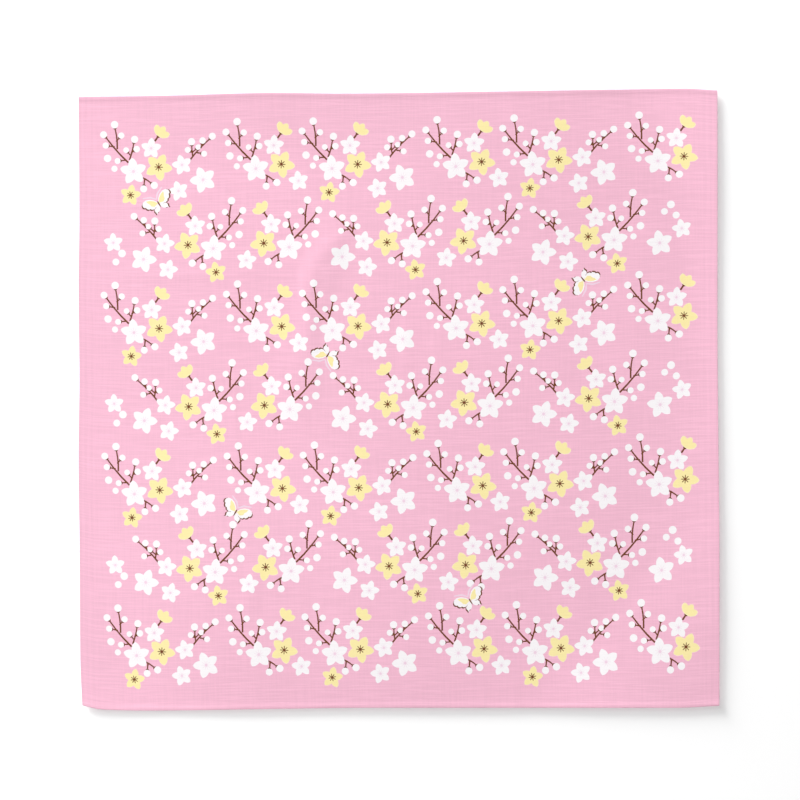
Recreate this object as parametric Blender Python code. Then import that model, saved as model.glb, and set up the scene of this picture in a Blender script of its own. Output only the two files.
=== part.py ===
"""A furoshiki, the Japanese square wrapping cloth, laid out flat on a table.

It is one closed sheet of cotton. Its right and bottom edges stand two or three millimetres off the
table, its right-hand corners rise beyond a soft slanting fold each, and low ridges run across it. Units
are metres, +Z is up, and +Y is the edge that is furthest from a person who stands in front of it. The
origin is the middle of the area that it covers, on the table.
"""

from typing import NamedTuple

import bpy
import numpy as np

MM = 0.001

# Driving sizes
CLOTH_WIDTH = 500 * MM  # between the two selvedges
CLOTH_DEPTH = 481.5 * MM  # between the two hemmed edges, halfway across
SHEET_THICKNESS = 1.0 * MM
CELL_SIZE = 10.5 * MM  # of the grid of faces, small enough to bend over each ridge
FOLD_BEND = 0.12  # how softly a corner fold bends, as a share of its reach
MIDDLE_ARCH = 0.6 * MM  # how much higher the cloth lies halfway up than at its top and bottom
PRESSED_FLAT = 0.08 * MM  # how far its lowest places sink, so that they lie quite flat

CLOTH_COLOUR = (0.896, 0.539, 0.651, 1.0)
CLOTH_ROUGHNESS = 0.85


class EdgePoint(NamedTuple):
    """How far an edge of the cloth stands out from a plain rectangle, at one place along it."""

    along: float  # from 0 at the edge's left or bottom end to 1 at its other end
    out_mm: float


class EdgeLift(NamedTuple):
    """How high an edge stands off the table at one place along it, and how far in that reaches."""

    along: float  # as in EdgePoint
    height_mm: float
    reach_mm: float


class Ridge(NamedTuple):
    """A soft ridge, or a trough where its height is negative, between two places on the cloth.

    The places are measured from the cloth's middle, and may lie off it: then only its flank shows.
    """

    x0_mm: float
    y0_mm: float
    x1_mm: float
    y1_mm: float
    height_mm: float
    half_width_mm: float


class CornerFold(NamedTuple):
    """A slanting fold line. The cloth rises to the left of it, as seen from its first end."""

    x0_mm: float
    y0_mm: float
    x1_mm: float
    y1_mm: float
    rise_mm: float  # at the reach
    reach_mm: float  # measured square to the line


# The top edge rises to the right, and its right-hand corner turns down.
TOP_EDGE = (
    EdgePoint(0.00, -3.2),
    EdgePoint(0.13, -2.4),
    EdgePoint(0.31, -0.2),
    EdgePoint(0.41, -0.7),
    EdgePoint(0.66, 0.8),
    EdgePoint(0.82, 2.3),
    EdgePoint(0.95, 3.1),
    EdgePoint(1.00, 1.5),
)

# The bottom edge is at its lowest near the left, and its left-hand corner is drawn in.
BOTTOM_EDGE = (
    EdgePoint(0.00, -1.8),
    EdgePoint(0.03, 1.4),
    EdgePoint(0.10, 2.3),
    EdgePoint(0.31, 0.8),
    EdgePoint(0.45, 0.0),
    EdgePoint(0.93, 0.0),
    EdgePoint(1.00, -1.6),
)

# The left edge leans in towards the bottom.
LEFT_EDGE = (
    EdgePoint(0.00, -2.8),
    EdgePoint(0.08, -1.1),
    EdgePoint(0.27, -0.4),
    EdgePoint(0.40, 0.4),
    EdgePoint(0.53, -0.3),
    EdgePoint(0.69, 0.4),
    EdgePoint(0.79, -0.2),
    EdgePoint(1.00, 0.4),
)

# The right edge bows out below its middle.
RIGHT_EDGE = (
    EdgePoint(0.00, 1.2),
    EdgePoint(0.25, 1.2),
    EdgePoint(0.40, 0.5),
    EdgePoint(0.60, -0.3),
    EdgePoint(1.00, -0.3),
)

RIGHT_LIFTS = (
    EdgeLift(0.00, 0.3, 180),
    EdgeLift(0.16, 1.7, 100),
    EdgeLift(0.36, 2.3, 70),
    EdgeLift(0.58, 2.6, 100),
    EdgeLift(0.78, 2.1, 100),
    EdgeLift(0.92, 1.3, 130),
    EdgeLift(1.00, 0.9, 75),
)

BOTTOM_LIFTS = (
    EdgeLift(0.00, 2.5, 140),
    EdgeLift(0.09, 1.9, 85),
    EdgeLift(0.30, 1.1, 90),
    EdgeLift(0.55, 0.5, 150),
    EdgeLift(0.80, 1.8, 90),
    EdgeLift(1.00, 0.3, 180),
)

CORNER_FOLDS = (
    CornerFold(190, 271, 226, 86, 2.5, 77),  # top right
    CornerFold(242, -73, 114, -223, 1.4, 69),  # bottom right
)

RIDGES = (
    Ridge(-46, 142, -72, 62, 0.4, 22),  # left of the middle, its upper half
    Ridge(-72, 66, -80, -14, 0.3, 24),  # left of the middle, its lower half
    Ridge(-48, 360, 129, 209, 2.1, 136),  # broad, down from the top edge
    Ridge(-259, 288, -40, 272, 1.9, 105),  # broad, along the left of the top edge
    Ridge(248, 130, 243, 10, -1.0, 67),  # a trough beside the right edge
    Ridge(-60, 6, 67, -240, 0.9, 94),  # broad, from the middle down to the bottom edge
    Ridge(-176, -93, 65, -259, 2.4, 135),  # broad, low on the left
    Ridge(-203, -148, -118, -226, 1.3, 67),  # across the bottom left corner
)


def row_slopes(stations, values):
    """The slope of a curve at each of its rows, kept so gentle that it never swings past them."""
    steps = np.diff(values) / np.diff(stations)
    before, after = steps[:-1], steps[1:]
    inner = np.zeros(len(before))
    np.divide(2 * before * after, before + after, out=inner, where=before * after > 0)
    return np.concatenate([steps[:1], inner, steps[-1:]])


def curve_through(rows, field, along):
    """One named column of a table as a smooth curve through all of its rows, read at `along`."""
    stations = np.array([row.along for row in rows])
    values = np.array([getattr(row, field) for row in rows])
    slopes = row_slopes(stations, values)
    first = np.clip(np.searchsorted(stations, along, side="right") - 1, 0, len(rows) - 2)
    last = first + 1
    span = stations[last] - stations[first]
    t = (along - stations[first]) / span
    from_first = values[first] * (1 + 2 * t) * (1 - t) ** 2 + slopes[first] * span * t * (1 - t) ** 2
    from_last = values[last] * t**2 * (3 - 2 * t) + slopes[last] * span * t**2 * (t - 1)
    return from_first + from_last


def edge_offset(edge, along):
    """How far, in metres, an edge stands out from the plain rectangle."""
    return curve_through(edge, "out_mm", along) * MM


def cloth_plan(across, up):
    """The x and y, in metres, of a place on the cloth given as its shares of the width and depth."""
    right = edge_offset(RIGHT_EDGE, up)
    left = edge_offset(LEFT_EDGE, up)
    top = edge_offset(TOP_EDGE, across)
    bottom = edge_offset(BOTTOM_EDGE, across)
    x = (across - 0.5) * CLOTH_WIDTH + across * right - (1 - across) * left
    y = (up - 0.5) * CLOTH_DEPTH + up * top - (1 - up) * bottom
    return x, y


def edge_lift(rows, along, inwards):
    """How high, in metres, a lifted edge holds a place that lies `inwards` metres in from it."""
    height = curve_through(rows, "height_mm", along) * MM
    reach = curve_through(rows, "reach_mm", along) * MM
    share = np.clip(1 - inwards / reach, 0, 1)
    return np.maximum(height, 0) * share**2


def ridge_height(ridge, x, y):
    """How high, in metres, a ridge holds a place: highest on its line, and nothing past its width."""
    start = np.array([ridge.x0_mm, ridge.y0_mm]) * MM
    run = np.array([ridge.x1_mm, ridge.y1_mm]) * MM - start
    length = np.hypot(*run)
    ahead = ((x - start[0]) * run[0] + (y - start[1]) * run[1]) / length
    aside = ((x - start[0]) * run[1] - (y - start[1]) * run[0]) / length
    half = ridge.half_width_mm * MM
    from_middle = np.abs(ahead - length / 2) / (length / 2 + half)
    away = np.clip(np.hypot(aside / half, from_middle), 0, 1)
    return ridge.height_mm * MM * (1 - away**2) ** 2


def corner_rise(fold, x, y):
    """How high, in metres, a corner fold holds a place: evenly steeper beyond a rounded bend."""
    start = np.array([fold.x0_mm, fold.y0_mm]) * MM
    run = np.array([fold.x1_mm, fold.y1_mm]) * MM - start
    beyond = ((y - start[1]) * run[0] - (x - start[0]) * run[1]) / np.hypot(*run)
    share = np.maximum(beyond, 0) / (fold.reach_mm * MM)
    return fold.rise_mm * MM * share**2 * (1 + FOLD_BEND) / (share + FOLD_BEND)


def cloth_height(across, up):
    """How high, in metres, the underside of the cloth stands, before it is set down on the table."""
    x, y = cloth_plan(across, up)
    from_right = (1 - across) * CLOTH_WIDTH
    from_bottom = up * CLOTH_DEPTH
    lifted = np.hypot(
        edge_lift(RIGHT_LIFTS, up, from_right),
        edge_lift(BOTTOM_LIFTS, across, from_bottom),
    )
    corners = sum(corner_rise(fold, x, y) for fold in CORNER_FOLDS)
    bumps = sum(ridge_height(ridge, x, y) for ridge in RIDGES)
    arch = MIDDLE_ARCH * (1 - (2 * up - 1) ** 2)
    return np.maximum(lifted + corners + bumps, 0) + arch


def cloth_surface():
    """The underside's points as an array of rows, columns and x, y, z.

    They are centred on the origin, and the lowest of them lie flat on the table.
    """
    columns = round(CLOTH_WIDTH / CELL_SIZE) + 1
    rows = round(CLOTH_DEPTH / CELL_SIZE) + 1
    across, up = np.meshgrid(np.linspace(0, 1, columns), np.linspace(0, 1, rows))
    x, y = cloth_plan(across, up)
    x -= (x.min() + x.max()) / 2
    y -= (y.min() + y.max()) / 2
    z = cloth_height(across, up)
    laid = np.maximum(z - z.min() - PRESSED_FLAT, 0)
    return np.stack([x, y, laid], axis=-1)


def sheet_faces(rows, columns):
    """Faces of a closed sheet whose lower points come first, then its upper ones."""
    lower = np.arange(rows * columns).reshape(rows, columns)
    upper = lower + rows * columns
    faces = []
    for row in range(rows - 1):
        for column in range(columns - 1):
            near = (row, column), (row, column + 1)
            far = (row + 1, column + 1), (row + 1, column)
            corners = near + far
            faces += split_face([upper[c] for c in corners])
            faces += split_face([lower[c] for c in reversed(corners)])
    rim = np.concatenate([lower[0, :-1], lower[:-1, -1], lower[-1, :0:-1], lower[:0:-1, 0]])
    for here, there in zip(rim, np.roll(rim, -1)):
        faces += split_face([here, there, there + rows * columns, here + rows * columns])
    return [[int(i) for i in face] for face in faces]


def split_face(corners):
    """Two triangles for a face of four corners, which on a bent sheet don't lie in one plane."""
    a, b, c, d = corners
    return [[a, b, c], [a, c, d]]


def cotton_material():
    """Plain pink for the solid, close to the printed cotton's ground."""
    material = bpy.data.materials.new("cotton_cloth")
    material.use_nodes = True
    shader = material.node_tree.nodes["Principled BSDF"]
    shader.inputs["Base Color"].default_value = CLOTH_COLOUR
    shader.inputs["Roughness"].default_value = CLOTH_ROUGHNESS
    shader.inputs["Metallic"].default_value = 0.0
    return material


def build_cloth():
    """Makes the one solid of this part."""
    under = cloth_surface()
    rows, columns = under.shape[:2]
    points = under.reshape(-1, 3)
    over = points + np.array([0, 0, SHEET_THICKNESS])
    mesh = bpy.data.meshes.new("cloth")
    mesh.from_pydata(np.concatenate([points, over]).tolist(), [], sheet_faces(rows, columns))
    mesh.shade_smooth()
    mesh.set_sharp_from_angle(angle=np.radians(40))
    mesh.materials.append(cotton_material())
    cloth = bpy.data.objects.new("cloth", mesh)
    bpy.context.collection.objects.link(cloth)


for old in list(bpy.data.objects):
    bpy.data.objects.remove(old, do_unlink=True)
build_cloth()
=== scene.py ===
"""A furoshiki, a printed cotton wrapping cloth, laid out flat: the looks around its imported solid.

The cloth is one thin sheet that lies on the solid's soft ridges and lifted edges. Its print is part of the
sheet's own faces: every blossom, bud, twig and butterfly is an outline drawn here from a formula or a short
chart of real sizes, and each face takes the ink of the outline that lies on top there. Sizes are in
millimetres on the flat cloth, measured from its middle, with x to the right selvedge and y to the top hem.
"""

from __future__ import annotations

import logging
import math
from collections.abc import Callable, Iterator, Sequence
from dataclasses import dataclass, field
from enum import Enum
from typing import NamedTuple

import bpy
import numpy as np
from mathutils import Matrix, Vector
from mathutils.geometry import delaunay_2d_cdt

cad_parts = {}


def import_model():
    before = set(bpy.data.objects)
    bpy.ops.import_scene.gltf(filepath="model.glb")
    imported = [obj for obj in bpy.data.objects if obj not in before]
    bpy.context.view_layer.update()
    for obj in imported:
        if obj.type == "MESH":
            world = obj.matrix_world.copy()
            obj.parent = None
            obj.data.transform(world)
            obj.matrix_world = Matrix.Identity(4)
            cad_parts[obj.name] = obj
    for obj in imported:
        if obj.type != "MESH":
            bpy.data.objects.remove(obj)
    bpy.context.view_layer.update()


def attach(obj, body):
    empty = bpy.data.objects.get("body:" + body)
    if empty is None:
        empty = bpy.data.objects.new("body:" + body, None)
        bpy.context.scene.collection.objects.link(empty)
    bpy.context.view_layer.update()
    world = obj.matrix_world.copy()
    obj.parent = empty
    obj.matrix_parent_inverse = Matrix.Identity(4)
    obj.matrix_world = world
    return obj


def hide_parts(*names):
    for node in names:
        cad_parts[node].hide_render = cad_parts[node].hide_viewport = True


MM = 0.001
LOG = logging.getLogger("furoshiki")
THREAD_PLACE = "thread_place"  # each point's place on the flat cloth, in metres, which the weave follows

Points = np.ndarray  # rows of x and y, in millimetres


class Ink(Enum):
    """What colours a face of the cloth, in the order of the sheet's material slots."""

    GROUND = "ground"
    BROWN = "brown"
    WHITE = "white"
    MAUVE = "mauve"
    CREAM = "cream"
    YELLOW = "yellow"
    REVERSE = "reverse"


class PrintedShape(NamedTuple):
    """One outline of the print and the ink that fills it."""

    ink: Ink
    outline: Points


# Drawing


def direction(degrees: float) -> Points:
    """The unit vector at this angle, counted from +x towards +y."""
    return np.array([math.cos(math.radians(degrees)), math.sin(math.radians(degrees))])


def disc(centre: Sequence[float], radius: float, corners: int) -> Points:
    """A round outline."""
    angle = np.linspace(0, 2 * np.pi, corners, endpoint=False)
    return np.array(centre) + radius * np.stack([np.cos(angle), np.sin(angle)], axis=1)


def turned_left(outline: Points) -> Points:
    """The outline with its points in the order that goes round to the left, as the triangulation needs."""
    x, y = outline[:, 0], outline[:, 1]
    area = np.sum(x * np.roll(y, -1) - y * np.roll(x, -1)) / 2
    return outline if area > 0 else outline[::-1]


def stroke(line: Points, half_widths: Sequence[float]) -> Points:
    """The outline of a brush stroke.

    Args:
        line: the points along its middle.
        half_widths: half of its width at each of them.

    Returns:
        Its left side from start to end, then its right side back to the start.
    """
    along = np.gradient(line, axis=0)
    along /= np.linalg.norm(along, axis=1, keepdims=True)
    aside = np.stack([-along[:, 1], along[:, 0]], axis=1) * np.array(half_widths)[:, None]
    return np.concatenate([line + aside, (line - aside)[::-1]])


class Placement(NamedTuple):
    """Where a drawn unit is printed."""

    x_mm: float
    y_mm: float
    mirrored: bool = False

    def put(self, shape: PrintedShape) -> PrintedShape:
        """The shape, turned over from left to right if it is mirrored, and moved to its place."""
        side = np.array([-1.0 if self.mirrored else 1.0, 1.0])
        return PrintedShape(shape.ink, shape.outline * side + np.array([self.x_mm, self.y_mm]))


@dataclass(frozen=True)
class Blossom:
    """A plum blossom seen from above: five broad petals, and what stands in its eye."""

    x_mm: float
    y_mm: float
    radius_mm: float
    turn_deg: float
    ink: Ink
    notch: float = 0.57  # radius between two petals, as a share of the whole
    point: float = 0.42  # how much of a petal's length is its pointed tip
    steps: int = 6  # points on each half of a petal

    def petals(self, share: float = 1.0) -> Points:
        """The outline of all five petals, drawn in to a share of the blossom's radius."""
        half = np.linspace(1, 0, self.steps + 1)  # from 1, a notch, to 0, a tip
        off_axis = np.concatenate([half[:-1], -half[::-1][:-1]])
        away = np.abs(off_axis)
        body = (1 - self.point) * np.cos(np.pi / 2 * away) + self.point * (1 - away) ** 1.5
        reach = self.notch + (1 - self.notch) * body
        petal_angles = 72 * np.arange(5)[:, None] - 36 * off_axis[None, :] + 90 + self.turn_deg
        radius = np.tile(reach, 5) * self.radius_mm * share
        angle = np.radians(petal_angles.ravel())
        return np.array([self.x_mm, self.y_mm]) + radius[:, None] * np.stack(
            [np.cos(angle), np.sin(angle)], axis=1
        )

    def rays(self, count: int, inner: float, outer: float, width: float, tip: float) -> Iterator[Points]:
        """Fine strokes around the eye.

        Args:
            count: how many.
            inner: where each starts, from the middle.
            outer: where each ends.
            width: half of its width at the start.
            tip: half of its width near its end.

        Yields:
            The outline of each.
        """
        middle = np.array([self.x_mm, self.y_mm])
        for i in range(count):
            ahead = direction(self.turn_deg + 360 * (i + 0.5) / count)
            stations = np.array([inner, inner + 0.72 * (outer - inner), outer])
            yield stroke(middle + np.outer(stations, ahead), [width, tip, tip * 0.7])

    def shapes(self) -> Iterator[PrintedShape]:
        """Everything that is printed for this blossom, the lowest first."""
        middle = (self.x_mm, self.y_mm)
        if self.ink is Ink.YELLOW:
            yield PrintedShape(Ink.CREAM, self.petals())
            yield PrintedShape(Ink.YELLOW, self.petals(0.955))
            for ray in self.rays(8, 0.3, 0.12 * self.radius_mm + 2.0, 0.3, 0.34):
                yield PrintedShape(Ink.BROWN, ray)
            yield PrintedShape(Ink.BROWN, disc(middle, 0.05 * self.radius_mm + 0.6, 8))
        else:
            yield PrintedShape(Ink.WHITE, self.petals())
            for ray in self.rays(10, 0.3, 0.36 * self.radius_mm, 0.16, 0.1):
                yield PrintedShape(Ink.MAUVE, ray)
            yield PrintedShape(Ink.MAUVE, disc(middle, 0.11 * self.radius_mm, 8))


@dataclass(frozen=True)
class Bud:
    """A round closed bud."""

    x_mm: float
    y_mm: float
    radius_mm: float

    def shapes(self) -> Iterator[PrintedShape]:
        """Its one white disc."""
        yield PrintedShape(Ink.WHITE, disc((self.x_mm, self.y_mm), self.radius_mm, 16))


@dataclass(frozen=True)
class Twig:
    """A twig or stalk, a little bowed, with a bud on its end where it has one."""

    x0_mm: float
    y0_mm: float
    x1_mm: float
    y1_mm: float
    bow_mm: float = 0.0  # how far its middle swings to its left
    bud_mm: float = 0.0  # radius of the bud on its end
    thick_mm: float = 1.1

    def shapes(self) -> Iterator[PrintedShape]:
        """The twig, which flares into the cup that holds its bud, and the bud."""
        start = np.array([self.x0_mm, self.y0_mm])
        run = np.array([self.x1_mm, self.y1_mm]) - start
        length = float(np.hypot(*run))
        ahead = run / length
        aside = np.array([-ahead[1], ahead[0]])
        cup = 1.0 if self.bud_mm else 0.0  # length of the flare
        stations = np.array([0, 0.35, 0.7, 1.0]) * (length - cup)
        half = self.thick_mm / 2 * np.array([1.05, 0.98, 0.9, 0.8])
        if cup:
            stations = np.append(stations, [length - 0.5, length])
            half = np.append(half, [1.2, 1.5])
        sway = 4 * self.bow_mm * (stations / length) * (1 - stations / length)
        line = start + np.outer(stations, ahead) + np.outer(sway, aside)
        yield PrintedShape(Ink.BROWN, stroke(line, half))
        if self.bud_mm:
            centre = start + run + ahead * 0.95 * self.bud_mm
            yield from Bud(float(centre[0]), float(centre[1]), self.bud_mm).shapes()


@dataclass(frozen=True)
class HalfOpenBloom:
    """A yellow bloom seen from the side as it opens, on a short stalk."""

    x_mm: float
    y_mm: float
    heading_deg: float
    stalk_mm: float = 4.6
    petals: int = 3
    length_mm: float = 9.4
    spread_deg: float = 64.0  # from its axis to its outermost edge
    notch: float = 0.76  # reach between two petals, as a share of the whole

    def crown(self) -> Points:
        """Its outline, as distances ahead of its root and to the left of it."""
        turn = np.linspace(-1, 1, 6 * self.petals + 1)
        off_axis = np.abs((turn + 1) * self.petals % 2 - 1)  # 0 at a petal's tip and 1 at a notch
        reach = self.length_mm * (self.notch + (1 - self.notch) * (1 - off_axis**1.5))
        angle = np.radians(self.spread_deg * turn)
        fan = np.stack([reach * np.cos(angle), reach * np.sin(angle)], axis=1)
        return np.concatenate([[(0.2, -1.7), (0.9, -4.0)], fan, [(0.9, 4.0), (0.2, 1.7)]])

    def shapes(self) -> Iterator[PrintedShape]:
        """The stalk and the cup on its end, then the crown of petals and the yellow within its edge."""
        ahead = direction(self.heading_deg)
        left = np.array([-ahead[1], ahead[0]])
        root = np.array([self.x_mm, self.y_mm])
        line = root + np.outer([-self.stalk_mm, -0.9, -0.3, 0.5], ahead)
        yield PrintedShape(Ink.BROWN, stroke(line, [0.75, 0.65, 1.3, 1.7]))
        middle = np.array([self.length_mm / 2, 0.0])
        for ink, share in ((Ink.CREAM, 1.0), (Ink.YELLOW, 0.92)):
            drawn = middle + (self.crown() - middle) * share
            yield PrintedShape(ink, root + np.outer(drawn[:, 0], ahead) + np.outer(drawn[:, 1], left))


class WingPoint(NamedTuple):
    """One corner of a butterfly's wing: how far out from the body, and how far ahead of that line."""

    out: float
    ahead: float


def wing(*corners: tuple[float, float]) -> tuple[WingPoint, ...]:
    """A wing's outline from pairs of out and ahead."""
    return tuple(WingPoint(*corner) for corner in corners)


@dataclass(frozen=True)
class Butterfly:
    """A small butterfly with its wings spread, white with yellow inner fields and a brown hind edge.

    Both wings on a side are drawn once, as shares of the wing's length, and turned over for the other.
    """

    x_mm: float
    y_mm: float
    heading_deg: float
    wing_mm: float = 13.0
    sweep_deg: float = 62.0  # angle between the way it heads and a fore wing
    fore_wing: tuple[WingPoint, ...] = wing(
        (0.00, 0.02), (0.26, 0.18), (0.52, 0.24), (0.78, 0.21), (0.95, 0.09), (1.00, -0.06),
        (0.96, -0.19), (0.87, -0.26), (0.79, -0.24), (0.71, -0.33), (0.59, -0.37), (0.51, -0.32),
        (0.42, -0.38), (0.27, -0.35), (0.12, -0.20),
    )
    hind_wing: tuple[WingPoint, ...] = wing(
        (0.00, -0.05), (0.18, -0.24), (0.26, -0.38), (0.25, -0.50), (0.17, -0.57), (0.11, -0.68),
        (0.07, -0.56), (-0.03, -0.50), (-0.09, -0.37), (-0.07, -0.18),
    )
    inner_field: tuple[WingPoint, ...] = wing(
        (0.03, 0.00), (0.28, 0.13), (0.54, 0.17), (0.76, 0.14), (0.68, 0.03), (0.54, -0.05),
        (0.45, -0.17), (0.26, -0.21),
    )

    def laid(self, corners: Sequence[WingPoint], side: int) -> Points:
        """Corners of a wing in their place.

        Args:
            corners: as shares of the wing's length.
            side: 1 for the left wing and -1 for the right one.

        Returns:
            The same number of points on the cloth.
        """
        out = direction(self.heading_deg + side * self.sweep_deg)
        ahead = np.array([out[1], -out[0]]) * side
        drawn = np.array(corners) * self.wing_mm
        return np.array([self.x_mm, self.y_mm]) + np.outer(drawn[:, 0], out) + np.outer(drawn[:, 1], ahead)

    def shapes(self) -> Iterator[PrintedShape]:
        """The brown edges, then the white wings and their fields, then the body and a line of air."""
        heading = direction(self.heading_deg)
        middle = np.array([self.x_mm, self.y_mm])
        for side in (-1, 1):
            out = direction(self.heading_deg + side * self.sweep_deg)
            back = np.array([-out[1], out[0]]) * side
            for corners in (self.hind_wing, self.fore_wing):
                whole = self.laid(corners, side)
                yield PrintedShape(Ink.BROWN, whole + 0.6 * out + 0.95 * back)
                yield PrintedShape(Ink.WHITE, whole)
            yield PrintedShape(Ink.YELLOW, self.laid(self.inner_field, side))
            air = self.laid(wing((0.12, 0.24), (0.48, 0.37), (0.95, 0.33)), side)
            yield PrintedShape(Ink.MAUVE, stroke(air, [0.45, 0.7, 0.4]))
        body = middle + np.outer([-3.4, -1.4, 1.0, 1.8], heading)
        yield PrintedShape(Ink.BROWN, stroke(body, [0.25, 0.5, 0.55, 0.3]))


Motif = Blossom | Bud | Twig | HalfOpenBloom | Butterfly


@dataclass(frozen=True)
class BlossomPrint:
    """The printed repeat: rows of blossoming plum sprays, every other row turned over.

    Each row repeats a tall spray with a side branch and a short spray beside it. All of a unit's sizes are
    from the middle of its largest white blossom.
    """

    repeat_mm: float = 157.0  # along a row
    row_pair_mm: float = 127.0  # from a row to the next but one
    short_spray_mm: float = 97.0  # from a tall spray to the short one after it
    row_starts_mm: tuple[tuple[float, float, bool], ...] = (
        (-208.4, 182.9, False),  # first tall spray of the top row: x, y and whether it is mirrored
        (-145.3, 121.2, True),
    )
    rows: int = 7
    most_in_a_row: int = 4  # tall sprays
    row_end_mm: float = 42.0  # no spray starts nearer than this to the right selvedge

    core: tuple[Motif, ...] = (
        Twig(-3.9, 6.9, -21.6, 27.2, 0.7, 2.8, 1.35),
        Twig(-12.6, 17.6, -14.2, 34.2, -0.6, 3.0, 1.25),
        Twig(-13.4, 23.6, -10.8, 26.6, 0.0, 2.5),
        Twig(-14.6, 19.4, -19.4, 20.2, 0.0, 2.5),
        Twig(-6.0, 8.9, -10.2, 8.5, 0.0, 2.4),
        Twig(-3.0, 9.0, 0.6, 22.6, -0.4, 2.9, 1.2),
        Twig(-2.2, 12.8, -4.2, 15.2, 0.0, 2.3),
        Twig(-1.6, 14.6, 0.8, 16.2, 0.0, 2.6),
        Bud(-20.4, 10.4, 3.0),
        Bud(-15.0, 2.2, 2.5),
        Twig(6.6, -4.7, 14.2, -9.6, 0.4, 2.9, 1.2),
        Twig(8.9, -6.0, 8.3, -11.2, 0.0, 2.8, 1.2),
        HalfOpenBloom(20.0, 27.3, 54),
        Blossom(14.3, 18.0, 8.3, -4, Ink.WHITE),
        Blossom(20.1, 3.2, 11.0, -26, Ink.YELLOW),
        Blossom(0.0, 0.0, 10.7, 5, Ink.WHITE),
    )
    tall_extra: tuple[Motif, ...] = (Blossom(-2.4, -18.7, 8.5, -10, Ink.YELLOW),)
    spray_under_butterfly: tuple[int, int] = (2, 1)  # row and place of the tall spray that lacks it
    short_extra: tuple[Motif, ...] = (Blossom(33.6, -9.8, 8.1, 8, Ink.WHITE),)
    side_branch: tuple[Motif, ...] = (
        Twig(43.4, 6.2, 61.0, 24.4, 0.8, 2.8, 1.25),
        Twig(47.4, 10.6, 46.6, 19.8, 0.3, 2.9),
        Twig(47.4, 13.6, 45.2, 15.0, 0.0, 2.4),
        Twig(47.2, 14.4, 50.0, 16.8, 0.0, 2.2),
        Twig(53.8, 17.2, 54.6, 20.8, 0.0, 2.6),
        Twig(50.6, 13.8, 54.0, 13.2, 0.0, 2.4),
        Blossom(38.6, 4.6, 8.1, 14, Ink.WHITE),
        Blossom(55.2, -7.6, 10.6, 20, Ink.WHITE),
        Blossom(35.7, -15.8, 8.1, 16, Ink.WHITE),
    )
    loose_end: tuple[Motif, ...] = (  # what fills a mirrored row's two ends
        Blossom(-224.6, 126.6, 7.8, 4, Ink.WHITE),
        Bud(-217.6, 118.2, 3.1),
        Bud(-222.4, 111.4, 2.8),
        Blossom(221.0, 128.4, 7.8, 12, Ink.WHITE),
        Blossom(204.0, 117.4, 10.4, 10, Ink.WHITE),
        Bud(212.6, 147.8, 3.1),
        Bud(207.6, 142.4, 2.7),
        Bud(216.6, 139.2, 2.8),
    )
    butterflies: tuple[Motif, ...] = (
        Butterfly(-188.6, 157.7, 121),
        Butterfly(145.1, 90.4, 308),
        Butterfly(-55.4, 36.4, 239),
        Butterfly(-128.4, -85.8, 58),
        Butterfly(55.0, -157.3, 121),
    )

    def drifted(self, outline: Points) -> Points:
        """An outline as it is once the printed cloth has come off its frame, a little out of true."""
        x, y = outline[:, 0], outline[:, 1]
        shear = x * y / 100000
        moved_x = x + 0.033 * x**2 / 1000 - 0.0023 * y - 0.0009 * x + shear
        moved_y = y - 0.37 + 0.0010 * x - 0.0010 * y + 1.14 * shear
        return np.stack([moved_x, moved_y], axis=1)

    def unit(self, motifs: Sequence[Motif], place: Placement) -> Iterator[PrintedShape]:
        """The shapes of some motifs, drawn in order and put in their place."""
        for motif in motifs:
            for shape in motif.shapes():
                yield place.put(shape)

    def row(self, index: int, half_width_mm: float) -> Iterator[PrintedShape]:
        """One row of the print.

        Args:
            index: counted from the top, from 0.
            half_width_mm: how far from the cloth's middle a spray may still start.

        Yields:
            Its shapes.
        """
        x, y, mirrored = self.row_starts_mm[index % 2]
        y -= index // 2 * self.row_pair_mm
        short = -self.short_spray_mm + self.repeat_mm if mirrored else self.short_spray_mm
        for repeat in range(self.most_in_a_row):
            tall_x = x + repeat * self.repeat_mm
            if tall_x < half_width_mm:
                place = Placement(tall_x, y, mirrored)
                whole = (index, repeat) != self.spray_under_butterfly
                yield from self.unit(self.core + (self.tall_extra if whole else ()), place)
                yield from self.unit(self.side_branch, place)
            if tall_x + short < half_width_mm:
                place = Placement(tall_x + short, y, mirrored)
                whole = abs(place.x_mm) < half_width_mm - self.short_spray_mm / 4
                yield from self.unit(self.core + (self.short_extra if whole else ()), place)
        if mirrored:
            down = Placement(0.0, -(index // 2) * self.row_pair_mm)
            yield from self.unit(self.loose_end, down)

    def shapes(self, cloth_width_mm: float) -> list[PrintedShape]:
        """The whole print for a cloth of this width, the lowest shape first."""
        found: list[PrintedShape] = []
        for index in range(self.rows):
            found.extend(self.row(index, cloth_width_mm / 2 - self.row_end_mm))
        found.extend(self.unit(self.butterflies, Placement(0.0, 0.0)))
        return [PrintedShape(ink, self.drifted(outline)) for ink, outline in found]


# Finishes


def linear(colour_hex: str) -> tuple[float, float, float, float]:
    """An sRGB hex colour, such as F4C1D3, as linear numbers with an alpha of 1."""
    parts = [int(colour_hex[i : i + 2], 16) / 255 for i in (0, 2, 4)]
    lit = [p / 12.92 if p <= 0.04045 else ((p + 0.055) / 1.055) ** 2.4 for p in parts]
    return (lit[0], lit[1], lit[2], 1.0)


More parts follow.
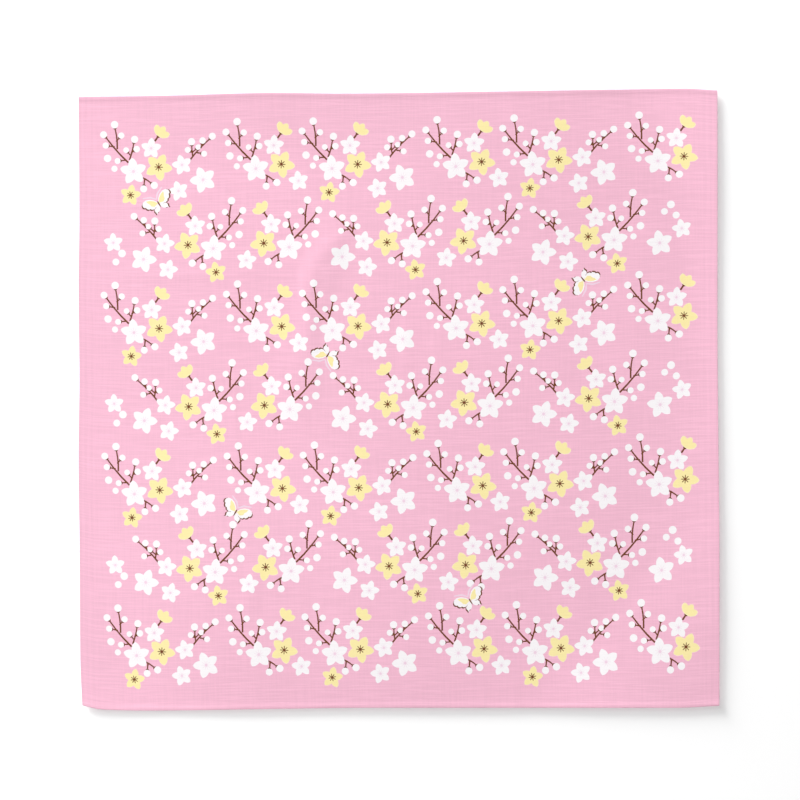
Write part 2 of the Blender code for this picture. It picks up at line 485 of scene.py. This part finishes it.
def add_node(
    tree: bpy.types.NodeTree,
    kind: str,
    settings: dict[str, object] | None = None,
    inputs: dict[str | int, object] | None = None,
) -> bpy.types.Node:
    """Adds a node to a material.

    Args:
        tree: the material's node tree.
        kind: the node's type, such as ShaderNodeMath.
        settings: its properties by name.
        inputs: for each input by name or number, the socket that is linked to it or its fixed value.

    Returns:
        The node.
    """
    node = tree.nodes.new(kind)
    for name, value in (settings or {}).items():
        setattr(node, name, value)
    for name, value in (inputs or {}).items():
        if isinstance(value, bpy.types.NodeSocket):
            tree.links.new(value, node.inputs[name])
        else:
            node.inputs[name].default_value = value
    return node


@dataclass(frozen=True)
class SlubYarns:
    """The yarns that show in plain-woven slub cotton.

    The real cloth has a thread about every 0.45 mm, too fine for the render. What shows is the slubs, the
    thick places of its hand-spun-looking yarns, so these are drawn at their own size, and the threads
    between them at about twice their real spacing, uneven so that they never beat against the pixels.
    """

    weft_slub_mm: tuple[float, float] = (36.0, 1.2)  # length along x, spacing along y
    warp_slub_mm: tuple[float, float] = (1.3, 36.0)  # spacing along x, length along y
    thread_mm: float = 0.9

    def streaks(
        self, tree: bpy.types.NodeTree, place: bpy.types.NodeSocket, size_mm: tuple[float, float]
    ) -> bpy.types.NodeSocket:
        """Noise drawn out into streaks of this length and spacing."""
        spread = add_node(
            tree,
            "ShaderNodeVectorMath",
            {"operation": "MULTIPLY"},
            {0: place, 1: (1 / (size_mm[0] * MM), 1 / (size_mm[1] * MM), 1.0)},
        )
        return add_node(
            tree,
            "ShaderNodeTexNoise",
            {"noise_dimensions": "2D"},
            {"Vector": spread.outputs["Vector"], "Scale": 1.0, "Detail": 2.0, "Roughness": 0.55},
        ).outputs["Fac"]

    def relief(self, tree: bpy.types.NodeTree, place: bpy.types.NodeSocket) -> bpy.types.NodeSocket:
        """How thick the yarns are at each place, from 0 to 1."""
        weft = self.streaks(tree, place, self.weft_slub_mm)
        slubs = add_node(
            tree,
            "ShaderNodeMapRange",
            {"interpolation_type": "SMOOTHSTEP"},
            {"Value": weft, "From Min": 0.36, "From Max": 0.72},
        ).outputs["Result"]
        warp = self.streaks(tree, place, self.warp_slub_mm)
        fine = self.streaks(tree, place, (14.0, self.thread_mm))
        both = add_node(
            tree, "ShaderNodeMix", {"data_type": "FLOAT"}, {"Factor": 0.56, "A": slubs, "B": warp}
        )
        return add_node(
            tree,
            "ShaderNodeMix",
            {"data_type": "FLOAT"},
            {"Factor": 0.25, "A": both.outputs["Result"], "B": fine},
        ).outputs["Result"]


@dataclass(frozen=True)
class WovenCotton:
    """Cotton sheeting, dyed in the piece and screen printed with pigment.

    It is matt, with a faint bloom of loose fibres at a glancing angle, and its colour deepens a little in
    the thin places between the slubs. Pigment fills those places, so a printed motif is smoother and more
    even than the ground, and it covers the dye completely.
    """

    name: str
    colour_hex: str
    deepening: float  # how much darker the thinnest places are
    relief_mm: float
    roughness: float = 0.86
    sheen: float = 0.12
    selvedge: float = 0.0  # how strongly the denser bands beside the selvedges show
    painted_edge_darkening: float = 0.0  # painted shade: how much darker the cloth's very edge is drawn, where it rounds off

    def selvedge_bands_and_edge_shade(
        self, tree: bpy.types.NodeTree, place: bpy.types.NodeSocket, half_size_mm: tuple[float, float]
    ) -> bpy.types.NodeSocket:
        """What the selvedge bands and the painted shade along the edges add to the cloth's brightness.

        Args:
            tree: the material's node tree.
            place: each point's place on the flat cloth.
            half_size_mm: half of the cloth's width and depth.

        Returns:
            Light and dark bands, 4.9 mm apart, in the 12 mm beside each selvedge, and painted shade: a
            darker line along each edge, where it rounds off.
        """
        band_mm, first_mm, reach_mm, fade_mm = 4.9, 2.75, 12.3, 1.3

        def step(operation: str, *terms: object) -> bpy.types.NodeSocket:
            """One step of the sum."""
            made = add_node(tree, "ShaderNodeMath", {"operation": operation}, dict(enumerate(terms)))
            return made.outputs["Value"]

        sides = add_node(tree, "ShaderNodeSeparateXYZ", inputs={0: place}).outputs
        from_side = step("MULTIPLY_ADD", step("ABSOLUTE", sides["X"]), -1 / MM, half_size_mm[0])
        from_end = step("MULTIPLY_ADD", step("ABSOLUTE", sides["Y"]), -1 / MM, half_size_mm[1])
        past_first = step("SUBTRACT", from_side, first_mm)
        wave = step("COSINE", step("MULTIPLY", past_first, 2 * math.pi / band_mm))
        beside = step("LESS_THAN", from_side, reach_mm)
        bands = step("MULTIPLY", step("MULTIPLY", wave, beside), self.selvedge)
        nearest = step("MINIMUM", from_side, from_end)
        # Painted shade: the colour darkens over the last millimetre or so beside every edge.
        dark = step("EXPONENT", step("MULTIPLY", nearest, -1 / fade_mm))
        return step("MULTIPLY_ADD", dark, -self.painted_edge_darkening, bands)

    def material(self, yarns: SlubYarns, half_size_mm: tuple[float, float]) -> bpy.types.Material:
        """Makes the Blender material for a cloth of this size."""
        made = bpy.data.materials.new(self.name)
        made.use_nodes = True
        tree = made.node_tree
        shader = tree.nodes["Principled BSDF"]
        shader.inputs["Roughness"].default_value = self.roughness
        shader.inputs["Sheen Weight"].default_value = self.sheen
        shader.inputs["Sheen Roughness"].default_value = 0.6
        shader.inputs["Specular IOR Level"].default_value = 0.25
        place = add_node(tree, "ShaderNodeAttribute", {"attribute_name": THREAD_PLACE}).outputs["Vector"]
        thick = yarns.relief(tree, place)
        span = {"From Min": 0.2, "From Max": 0.7, "To Min": 1 - self.deepening, "To Max": 1.0}
        depth = add_node(tree, "ShaderNodeMapRange", inputs={"Value": thick, **span}).outputs["Result"]
        if self.selvedge:
            # The selvedge bands, and the painted shade along every edge.
            edges = self.selvedge_bands_and_edge_shade(tree, place, half_size_mm)
            both = {0: depth, 1: edges}
            depth = add_node(tree, "ShaderNodeMath", {"operation": "ADD"}, both).outputs["Value"]
        dyed = {0: linear(self.colour_hex)[:3], "Scale": depth}
        colour = add_node(tree, "ShaderNodeVectorMath", {"operation": "SCALE"}, dyed)
        tree.links.new(colour.outputs["Vector"], shader.inputs["Base Color"])
        bump = add_node(
            tree,
            "ShaderNodeBump",
            inputs={"Height": thick, "Distance": self.relief_mm * MM, "Strength": 1.0},
        )
        tree.links.new(bump.outputs["Normal"], shader.inputs["Normal"])
        return made


FINISHES: dict[Ink, WovenCotton] = {
    # Piece-dyed slub cotton: soft pink, finely streaked both ways, with painted shade along its very edge.
    Ink.GROUND: WovenCotton("pink_dyed_cotton", "ECB5CA", 0.10, 0.068, selvedge=0.014, painted_edge_darkening=0.05),
    # Screen-printed pigment: flatter and more even than the dyed ground, with the weave still in it.
    Ink.BROWN: WovenCotton("brown_pigment_print", "6C3A1A", 0.10, 0.06),
    Ink.WHITE: WovenCotton("white_pigment_print", "EEEAEC", 0.02, 0.05),
    Ink.MAUVE: WovenCotton("mauve_pigment_print", "E6CBDA", 0.03, 0.05),
    Ink.CREAM: WovenCotton("cream_pigment_print", "EFE5BE", 0.03, 0.05),
    Ink.YELLOW: WovenCotton("yellow_pigment_print", "EFE0A2", 0.03, 0.05),
    # The unprinted reverse: paler than the face, and its slubs show more.
    Ink.REVERSE: WovenCotton("pink_cotton_reverse", "EFC4D2", 0.09, 0.11),
}


# The cloth


class EdgePoint(NamedTuple):
    """How far an edge of the cloth stands out from a plain rectangle, at one place along it."""

    along: float
    out_mm: float


class EdgeLift(NamedTuple):
    """How high an edge stands off the table at one place along it, and how far in that reaches."""

    along: float
    height_mm: float
    reach_mm: float


class Ridge(NamedTuple):
    """A soft ridge, or a trough where its height is negative, from one place on the cloth to another."""

    x0_mm: float
    y0_mm: float
    x1_mm: float
    y1_mm: float
    height_mm: float
    half_width_mm: float


class CornerFold(NamedTuple):
    """A slanting fold line. The cloth rises to the left of it, as seen from its first end."""

    x0_mm: float
    y0_mm: float
    x1_mm: float
    y1_mm: float
    rise_mm: float
    reach_mm: float


def curve_through(rows: Sequence[NamedTuple], column: str, along: np.ndarray) -> np.ndarray:
    """One named column of a table as a smooth curve through all of its rows.

    Args:
        rows: the table, in order along the edge.
        column: the name of the column.
        along: where to read it, from 0 at the edge's left or bottom end to 1 at its other end.

    Returns:
        The curve's values there. It never swings past the rows.
    """
    stations = np.array([row.along for row in rows])
    values = np.array([getattr(row, column) for row in rows])
    steps = np.diff(values) / np.diff(stations)
    before, after = steps[:-1], steps[1:]
    inner = np.zeros(len(before))
    np.divide(2 * before * after, before + after, out=inner, where=before * after > 0)
    slopes = np.concatenate([steps[:1], inner, steps[-1:]])
    first = np.clip(np.searchsorted(stations, along, side="right") - 1, 0, len(rows) - 2)
    last = first + 1
    span = stations[last] - stations[first]
    t = (along - stations[first]) / span
    from_first = values[first] * (1 + 2 * t) * (1 - t) ** 2 + slopes[first] * span * t * (1 - t) ** 2
    from_last = values[last] * t**2 * (3 - 2 * t) + slopes[last] * span * t**2 * (t - 1)
    return from_first + from_last


@dataclass(frozen=True)
class LaidShape:
    """The shape in which the cloth lies: its uneven outline, its lifted edges and its soft ridges.

    The outline, the lifts, the arch and the ridges are the solid's own. The creases are finer than it has.
    """

    width_mm: float = 500.0
    depth_mm: float = 481.5
    weave_lean: float = 0.011  # how far the rows climb to the right halfway up, for each mm across
    weave_sag_mm: float = 3.7  # how much lower the rows are in their middle than at their ends, halfway up
    floor_gap_mm: float = 0.05
    middle_arch_mm: float = 0.6  # how much higher it lies halfway up than at its top and bottom
    set_down_mm: float = 0.277  # how far it all sinks until its lowest places lie flat
    top_edge: tuple[EdgePoint, ...] = (
        EdgePoint(0.00, -3.2),
        EdgePoint(0.13, -2.4),
        EdgePoint(0.31, -0.2),
        EdgePoint(0.41, -0.7),
        EdgePoint(0.66, 0.8),
        EdgePoint(0.82, 2.3),
        EdgePoint(0.95, 3.1),
        EdgePoint(1.00, 1.5),
    )
    bottom_edge: tuple[EdgePoint, ...] = (
        EdgePoint(0.00, -1.8),
        EdgePoint(0.03, 1.4),
        EdgePoint(0.10, 2.3),
        EdgePoint(0.31, 0.8),
        EdgePoint(0.45, 0.0),
        EdgePoint(0.93, 0.0),
        EdgePoint(1.00, -1.6),
    )
    left_edge: tuple[EdgePoint, ...] = (
        EdgePoint(0.00, -2.8),
        EdgePoint(0.08, -1.1),
        EdgePoint(0.27, -0.4),
        EdgePoint(0.40, 0.4),
        EdgePoint(0.53, -0.3),
        EdgePoint(0.69, 0.4),
        EdgePoint(0.79, -0.2),
        EdgePoint(1.00, 0.4),
    )
    right_edge: tuple[EdgePoint, ...] = (
        EdgePoint(0.00, 1.2),
        EdgePoint(0.25, 1.2),
        EdgePoint(0.40, 0.5),
        EdgePoint(0.60, -0.3),
        EdgePoint(1.00, -0.3),
    )
    right_lifts: tuple[EdgeLift, ...] = (
        EdgeLift(0.00, 0.3, 180),
        EdgeLift(0.16, 1.7, 100),
        EdgeLift(0.36, 2.3, 70),
        EdgeLift(0.58, 2.6, 100),
        EdgeLift(0.78, 2.1, 100),
        EdgeLift(0.92, 1.3, 130),
        EdgeLift(1.00, 0.9, 75),
    )
    bottom_lifts: tuple[EdgeLift, ...] = (
        EdgeLift(0.00, 2.5, 140),
        EdgeLift(0.09, 1.9, 85),
        EdgeLift(0.30, 1.1, 90),
        EdgeLift(0.55, 0.5, 150),
        EdgeLift(0.80, 1.8, 90),
        EdgeLift(1.00, 0.3, 180),
    )
    corner_folds: tuple[CornerFold, ...] = (
        CornerFold(190, 271, 226, 86, 2.5, 77),
        CornerFold(242, -73, 114, -223, 1.4, 69),
    )
    fold_bend: float = 0.12
    ridges: tuple[Ridge, ...] = (
        Ridge(-46, 142, -72, 62, 0.4, 22),
        Ridge(-72, 66, -80, -14, 0.3, 24),
        Ridge(-48, 360, 129, 209, 2.1, 136),
        Ridge(-259, 288, -40, 272, 1.9, 105),
        Ridge(248, 130, 243, 10, -1.0, 67),
        Ridge(-60, 6, 67, -240, 0.9, 94),
        Ridge(-176, -93, 65, -259, 2.4, 135),
        Ridge(-203, -148, -118, -226, 1.3, 67),
    )
    creases: tuple[Ridge, ...] = (
        Ridge(-44, 128, -66, 108, 0.24, 11),  # the curved crease left of the middle, top to bottom
        Ridge(-66, 110, -73, 78, 0.32, 11),
        Ridge(-73, 80, -68, 38, 0.24, 11),
        Ridge(6, 64, 6, 14, 0.11, 7),  # two short ones in the middle
        Ridge(32, 68, 31, 10, 0.11, 7),
        Ridge(-130, 178, -127, -196, 0.09, 5),  # where the cloth was once folded up
        Ridge(-246, 98, -76, 97, 0.08, 5),
        Ridge(-112, -128, -118, -176, 0.16, 9),
    )

    def plan(self, flat: Points) -> Points:
        """Where places on the flat cloth lie, seen from above, in mm from the middle of the cloth."""
        across = np.clip(flat[:, 0] / self.width_mm + 0.5, 0, 1)
        up = np.clip(flat[:, 1] / self.depth_mm + 0.5, 0, 1)
        right = curve_through(self.right_edge, "out_mm", up)
        left = curve_through(self.left_edge, "out_mm", up)
        top = curve_through(self.top_edge, "out_mm", across)
        bottom = curve_through(self.bottom_edge, "out_mm", across)
        x = flat[:, 0] + across * right - (1 - across) * left
        y = flat[:, 1] + up * top - (1 - up) * bottom
        lean = self.weave_lean * flat[:, 0] + self.weave_sag_mm * (2 * across - 1) ** 2
        y = y + lean * np.sin(np.pi * up)
        return np.stack([x, y], axis=1)

    def edge_lift(self, rows: Sequence[EdgeLift], along: np.ndarray, inwards: np.ndarray) -> np.ndarray:
        """How high a lifted edge holds the cloth.

        Args:
            rows: the edge's table.
            along: from 0 to 1 along the edge.
            inwards: in mm from the edge.

        Returns:
            The height there, in mm.
        """
        height = np.maximum(curve_through(rows, "height_mm", along), 0)
        reach = curve_through(rows, "reach_mm", along)
        return height * np.clip(1 - inwards / reach, 0, 1) ** 2

    def ridge_height(self, ridge: Ridge, place: Points) -> np.ndarray:
        """How high, in mm, a ridge holds places on the cloth."""
        start = np.array([ridge.x0_mm, ridge.y0_mm])
        run = np.array([ridge.x1_mm, ridge.y1_mm]) - start
        length = float(np.hypot(*run))
        ahead = (place - start) @ run / length
        aside = (place - start) @ np.array([run[1], -run[0]]) / length
        from_middle = np.abs(ahead - length / 2) / (length / 2 + ridge.half_width_mm)
        away = np.clip(np.hypot(aside / ridge.half_width_mm, from_middle), 0, 1)
        return ridge.height_mm * (1 - away**2) ** 2

    def corner_rise(self, fold: CornerFold, place: Points) -> np.ndarray:
        """How high, in mm, a corner fold holds places on the cloth."""
        start = np.array([fold.x0_mm, fold.y0_mm])
        run = np.array([fold.x1_mm, fold.y1_mm]) - start
        beyond = (place - start) @ np.array([-run[1], run[0]]) / float(np.hypot(*run))
        share = np.maximum(beyond, 0) / fold.reach_mm
        return fold.rise_mm * share**2 * (1 + self.fold_bend) / (share + self.fold_bend)

    def height(self, flat: Points) -> np.ndarray:
        """How high, in mm, the underside of the cloth stands off the table."""
        across = np.clip(flat[:, 0] / self.width_mm + 0.5, 0, 1)
        up = np.clip(flat[:, 1] / self.depth_mm + 0.5, 0, 1)
        lifted = np.hypot(
            self.edge_lift(self.right_lifts, up, (1 - across) * self.width_mm),
            self.edge_lift(self.bottom_lifts, across, up * self.depth_mm),
        )
        place = self.plan(flat)
        bumps = sum(self.ridge_height(ridge, place) for ridge in self.ridges + self.creases)
        corners = sum(self.corner_rise(fold, place) for fold in self.corner_folds)
        arch = self.middle_arch_mm * (1 - (2 * up - 1) ** 2)
        stands = np.maximum(lifted + corners + bumps, 0) + arch - self.set_down_mm
        return self.floor_gap_mm + np.maximum(stands, 0)


class SheetMesh(NamedTuple):
    """Points in metres, triangles, and each triangle's ink, for one side of the sheet."""

    flat: Points
    faces: list[tuple[int, int, int]]
    inks: list[Ink]
    rim: list[int]  # the points along its edge, in order


@dataclass
class WrappingCloth:
    """The furoshiki: one sheet of printed cotton between two selvedges and two rolled hems."""

    shape: LaidShape = field(default_factory=LaidShape)
    print_work: BlossomPrint = field(default_factory=BlossomPrint)
    yarns: SlubYarns = field(default_factory=SlubYarns)
    thickness_mm: float = 0.45
    hem_turn_mm: float = 4.8  # what each of the two hems takes up, turned under twice
    hem_mm: float = 2.4  # width of the rolled hem along the top and bottom edges
    hem_rise_mm: float = 0.06
    rim_bulge_mm: float = 0.2
    cell_mm: float = 6.0
    under_cell_mm: float = 12.0

    def lines(self, half: float, cell: float, extra: Sequence[float] = ()) -> np.ndarray:
        """Where grid lines cross one side: evenly spaced, and at these distances from its ends."""
        even = np.linspace(-half, half, round(2 * half / cell) + 1)
        near = [side * (half - inwards) for inwards in extra for side in (-1, 1)]
        return np.unique(np.round(np.concatenate([even, near]), 4))

    def grid(self, cell: float) -> tuple[Points, Points]:
        """The points of a grid over the cloth.

        Args:
            cell: its spacing in mm.

        Returns:
            The points along its rim, in order from the bottom left, and those within it.
        """
        xs = self.lines(self.shape.width_mm / 2, self.cell_mm)
        ys = self.lines(self.shape.depth_mm / 2, self.cell_mm, self.hem_profile_mm()[1:-1])
        left, right, low, high = xs[0], xs[-1], ys[0], ys[-1]
        rim = [(x, low) for x in xs[:-1]] + [(right, y) for y in ys[:-1]]
        rim += [(x, high) for x in xs[:0:-1]] + [(left, y) for y in ys[:0:-1]]
        inner_x = xs[1:-1] if cell == self.cell_mm else self.lines(self.shape.width_mm / 2, cell)[1:-1]
        inner_y = ys[1:-1] if cell == self.cell_mm else self.lines(self.shape.depth_mm / 2, cell)[1:-1]
        inside = np.stack(np.meshgrid(inner_x, inner_y), axis=-1).reshape(-1, 2)
        return np.array(rim), inside

    def hem_profile_mm(self) -> np.ndarray:
        """Distances from a hemmed edge at which the sheet has points, to round its rolled hem."""
        return self.hem_mm * np.array([0.0, 0.08, 0.25, 0.5, 0.75, 0.92, 1.0])

    def triangulate(self, cell: float, printed: Sequence[PrintedShape], plain: Ink) -> SheetMesh:
        """Cuts one side of the cloth into triangles along the outlines of its print.

        Args:
            cell: spacing of the grid between them, in mm.
            printed: what is printed on it, the lowest first.
            plain: its colour where nothing is.

        Returns:
            The side, with the ink of each triangle.
        """
        rim, inside = self.grid(cell)
        blocks = [rim, inside] + [turned_left(shape.outline) for shape in printed]
        starts = np.cumsum([0] + [len(block) for block in blocks])
        outlines = [list(range(len(rim)))]
        outlines += [list(range(a, b)) for a, b in zip(starts[2:-1], starts[3:])]
        points = [Vector(p) for p in np.concatenate(blocks).tolist()]
        places, _, faces, sources, _, holders = delaunay_2d_cdt(points, [], outlines, 1, 1e-4, True)
        rim_index = {source: i for i, found in enumerate(sources) for source in found if source < len(rim)}
        inks = [printed[max(held) - 1].ink if max(held) else plain for held in holders]
        return SheetMesh(
            np.array([p[:] for p in places]),
            [tuple(face) for face in faces],
            inks,
            [rim_index[i] for i in range(len(rim))],
        )

    def hem_rise(self, flat: Points) -> np.ndarray:
        """How much higher, in mm, the rolled hems stand than the single cloth."""
        inwards = self.shape.depth_mm / 2 - np.abs(flat[:, 1])
        from_middle = np.clip(2 * inwards / self.hem_mm - 1, -1, 1)
        return self.hem_rise_mm * np.sqrt(1 - from_middle**2)

    def top_height(self, flat: Points) -> np.ndarray:
        """How high, in mm, the printed side stands off the table."""
        return self.shape.height(flat) + self.thickness_mm + self.hem_rise(flat)

    def normals(self, height: Callable[[Points], np.ndarray], flat: Points) -> np.ndarray:
        """The upward normals of a surface.

        Args:
            height: its height in mm at places on the flat cloth.
            flat: the places.

        Returns:
            A unit vector for each.
        """
        step = 0.15  # mm to each side
        slopes = [
            (height(flat + move) - height(flat - move)) / (2 * step)
            for move in (np.array([step, 0.0]), np.array([0.0, step]))
        ]
        found = np.stack([-slopes[0], -slopes[1], np.ones(len(flat))], axis=1)
        return found / np.linalg.norm(found, axis=1, keepdims=True)

    def place(self, flat: Points, height: np.ndarray) -> np.ndarray:
        """Points in metres, in the frame, for places on the flat cloth at these heights in mm."""
        seen = self.shape.plan(flat) - self.middle_mm()
        return np.column_stack([seen, height]) * MM

    def middle_mm(self) -> Points:
        """The middle of the area that the cloth covers, which is the frame's origin."""
        rim = self.shape.plan(self.grid(self.cell_mm)[0])
        return (rim.min(axis=0) + rim.max(axis=0)) / 2

    def build(self) -> bpy.types.Object:
        """Makes the sheet, with its print, its reverse and the thin rim between them."""
        top = self.triangulate(self.cell_mm, self.print_work.shapes(self.shape.width_mm), Ink.GROUND)
        under = self.triangulate(self.under_cell_mm, [], Ink.REVERSE)
        edge_flat = top.flat[top.rim]
        edge_seen = self.shape.plan(edge_flat)
        outward = self.rim_outward(edge_seen)
        top_points = self.place(top.flat, self.top_height(top.flat))
        under_points = self.place(under.flat, self.shape.height(under.flat))
        middle_points = (top_points[top.rim] + under_points[under.rim]) / 2
        middle_points[:, :2] += outward * self.rim_bulge_mm * MM
        first_under = len(top_points)
        first_middle = first_under + len(under_points)
        faces = list(top.faces) + [tuple(first_under + i for i in face[::-1]) for face in under.faces]
        inks = list(top.inks) + list(under.inks)
        count = len(top.rim)
        for i in range(count):
            after = (i + 1) % count
            low = (first_under + under.rim[i], first_under + under.rim[after])
            mid = (first_middle + i, first_middle + after)
            high = (top.rim[i], top.rim[after])
            faces += [(low[0], low[1], mid[1], mid[0]), (mid[0], mid[1], high[1], high[0])]
            inks += [Ink.REVERSE, Ink.GROUND]
        points = np.concatenate([top_points, under_points, middle_points])
        flat = np.concatenate([top.flat, under.flat, edge_flat])
        mesh = bpy.data.meshes.new("printed_cloth")
        mesh.from_pydata(points.tolist(), [], faces)
        order = list(Ink)
        mesh.polygons.foreach_set("material_index", [order.index(ink) for ink in inks])
        self.write_places(mesh, flat)
        self.write_bake_map(mesh, flat, len(top.faces), len(under.faces))
        self.write_normals(mesh, top, under, outward, first_under, first_middle)
        cloth = bpy.data.objects.new("printed_cloth", mesh)
        bpy.context.scene.collection.objects.link(cloth)
        return cloth

    def rim_outward(self, seen: Points) -> Points:
        """Unit vectors that point out of the cloth, seen from above, at each point of its rim."""
        along = np.roll(seen, -1, axis=0) - np.roll(seen, 1, axis=0)
        outward = np.stack([along[:, 1], -along[:, 0]], axis=1)
        return outward / np.linalg.norm(outward, axis=1, keepdims=True)

    def write_places(self, mesh: bpy.types.Mesh, flat: Points) -> None:
        """Stores where each point lies on the flat cloth, for the weave to follow."""
        values = np.column_stack([flat * MM, np.zeros(len(flat))])
        made = mesh.attributes.new(THREAD_PLACE, "FLOAT_VECTOR", "POINT")
        made.data.foreach_set("vector", values.astype(np.float32).ravel())

    def write_bake_map(self, mesh: bpy.types.Mesh, flat: Points, top_faces: int, under_faces: int) -> None:
        """Lays the faces out on a UV map: the print large, and the plain reverse and rim small."""
        size = np.array([self.shape.width_mm, self.shape.depth_mm])
        share = flat / size + 0.5
        starts = np.zeros(len(mesh.polygons), np.int32)
        mesh.polygons.foreach_get("loop_start", starts)
        vertex = np.zeros(len(mesh.loops), np.int32)
        mesh.loops.foreach_get("vertex_index", vertex)
        found = 0.01 + 0.82 * share[vertex]
        first_under, first_rim = starts[top_faces], starts[top_faces + under_faces]
        found[first_under:first_rim] = np.array([0.86, 0.02]) + 0.12 * share[vertex[first_under:first_rim]]
        quads = (len(mesh.loops) - first_rim) // 8
        along = (np.arange(quads)[:, None, None] + np.array([0, 1, 1, 0])[None, None, :]) / quads
        across = np.array([[0, 0, 1, 1], [1, 1, 2, 2]])[None, :, :]
        found[first_rim:, 0] = (0.01 + 0.98 * np.broadcast_to(along, (quads, 2, 4))).ravel()
        found[first_rim:, 1] = (0.88 + 0.05 * np.broadcast_to(across, (quads, 2, 4))).ravel()
        layer = mesh.uv_layers.new(name="OFBake", do_init=False)
        layer.uv.foreach_set("vector", found.astype(np.float32).ravel())

    def write_normals(
        self,
        mesh: bpy.types.Mesh,
        top: SheetMesh,
        under: SheetMesh,
        outward: Points,
        first_under: int,
        first_middle: int,
    ) -> None:
        """Gives each corner its true normal, so that the print's small faces don't show in the shading."""
        mesh.shade_smooth()
        up = self.normals(self.top_height, top.flat)
        down = -self.normals(self.shape.height, under.flat)
        level = np.column_stack([outward, np.zeros(len(outward))])
        by_point = np.concatenate([up, down, level])
        vertex = np.zeros(len(mesh.loops), np.int32)
        mesh.loops.foreach_get("vertex_index", vertex)
        mesh.normals_split_custom_set(by_point[vertex].tolist())

    def dress(self, cloth: bpy.types.Object) -> None:
        """Gives the sheet its finishes, one slot for each ink."""
        half_size = (self.shape.width_mm / 2, self.shape.depth_mm / 2)
        for ink in Ink:
            cloth.data.materials.append(FINISHES[ink].material(self.yarns, half_size))


# The studio


class SoftLight(NamedTuple):
    """A round soft light that faces the middle of the cloth."""

    name: str
    place_m: tuple[float, float, float]
    size_m: float
    power_w: float
    shadow: bool = True

    def make(self) -> None:
        """Hangs it in the scene."""
        data = bpy.data.lights.new(self.name, "AREA")
        data.shape, data.size, data.energy = "DISK", self.size_m, self.power_w
        data.use_shadow = self.shadow
        light = bpy.data.objects.new(self.name, data)
        light.location = self.place_m
        light.rotation_euler = (-Vector(self.place_m)).to_track_quat("-Z", "Y").to_euler()
        bpy.context.scene.collection.objects.link(light)


@dataclass(frozen=True)
class Studio:
    """A white table under soft light from the upper left, seen from straight above."""

    view_width_mm: float = 627.2  # what the picture's 800 pixels take in, at 0.784 mm each
    view_shift_mm: tuple[float, float] = (1.0, -0.4)  # from the cloth's middle to the picture's
    lens_mm: float = 100.0
    sensor_mm: float = 36.0
    lamps: tuple[SoftLight, ...] = (
        SoftLight("low_key", (-4.13, 5.48, 1.4), 2.7, 927.0),
        SoftLight("high_key", (-1.8, 2.39, 2.34), 2.4, 51.6),
        SoftLight("left_fill", (-1.71, -0.62, 1.42), 0.5, 11.0, shadow=False),
    )
    fill_w_m2: float = 0.9  # of an even light from above that casts no shadow
    sky: float = 0.16

    def camera(self) -> bpy.types.Object:
        """Makes the camera."""
        data = bpy.data.cameras.new("camera")
        data.lens, data.sensor_width = self.lens_mm, self.sensor_mm
        camera = bpy.data.objects.new("camera", data)
        away = self.view_width_mm * self.lens_mm / self.sensor_mm
        camera.location = (self.view_shift_mm[0] * MM, self.view_shift_mm[1] * MM, away * MM)
        bpy.context.scene.collection.objects.link(camera)
        bpy.context.scene.camera = camera
        return camera

    def table(self) -> bpy.types.Object:
        """Makes the white table top."""
        mesh = bpy.data.meshes.new("table_top")
        half = 3.0
        corners = [(-half, -half, 0), (half, -half, 0), (half, half, 0), (-half, half, 0)]
        mesh.from_pydata(corners, [], [(0, 1, 2, 3)])
        material = bpy.data.materials.new("white_table")
        material.use_nodes = True
        shader = material.node_tree.nodes["Principled BSDF"]
        shader.inputs["Base Color"].default_value = linear("FCFCFC")
        shader.inputs["Roughness"].default_value = 0.9
        mesh.materials.append(material)
        table = bpy.data.objects.new("table_top", mesh)
        bpy.context.scene.collection.objects.link(table)
        return table

    def lights(self) -> None:
        """Makes the soft lights, the even light from above and the pale surroundings."""
        for lamp in self.lamps:
            lamp.make()
        fill_data = bpy.data.lights.new("top_fill", "SUN")
        fill_data.energy, fill_data.use_shadow = self.fill_w_m2, False
        fill = bpy.data.objects.new("top_fill", fill_data)
        fill.location = (0.0, 0.0, 2.0)
        bpy.context.scene.collection.objects.link(fill)
        world = bpy.data.worlds.new("studio")
        world.use_nodes = True
        glow = world.node_tree.nodes["Background"].inputs
        glow["Color"].default_value = (1.0, 1.0, 1.0, 1.0)
        glow["Strength"].default_value = self.sky
        bpy.context.scene.world = world
        bpy.context.scene.view_settings.view_transform = "Standard"


def main() -> None:
    logging.basicConfig(level=logging.INFO, format="%(name)s: %(message)s")
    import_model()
    studio = Studio()
    studio.camera()
    studio.lights()
    studio.table()
    maker = WrappingCloth()
    cloth = maker.build()
    maker.dress(cloth)
    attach(cloth, "root")
    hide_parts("cloth")
    LOG.info("printed_cloth: %d faces", len(cloth.data.polygons))


if __name__ == "__main__":
    main()
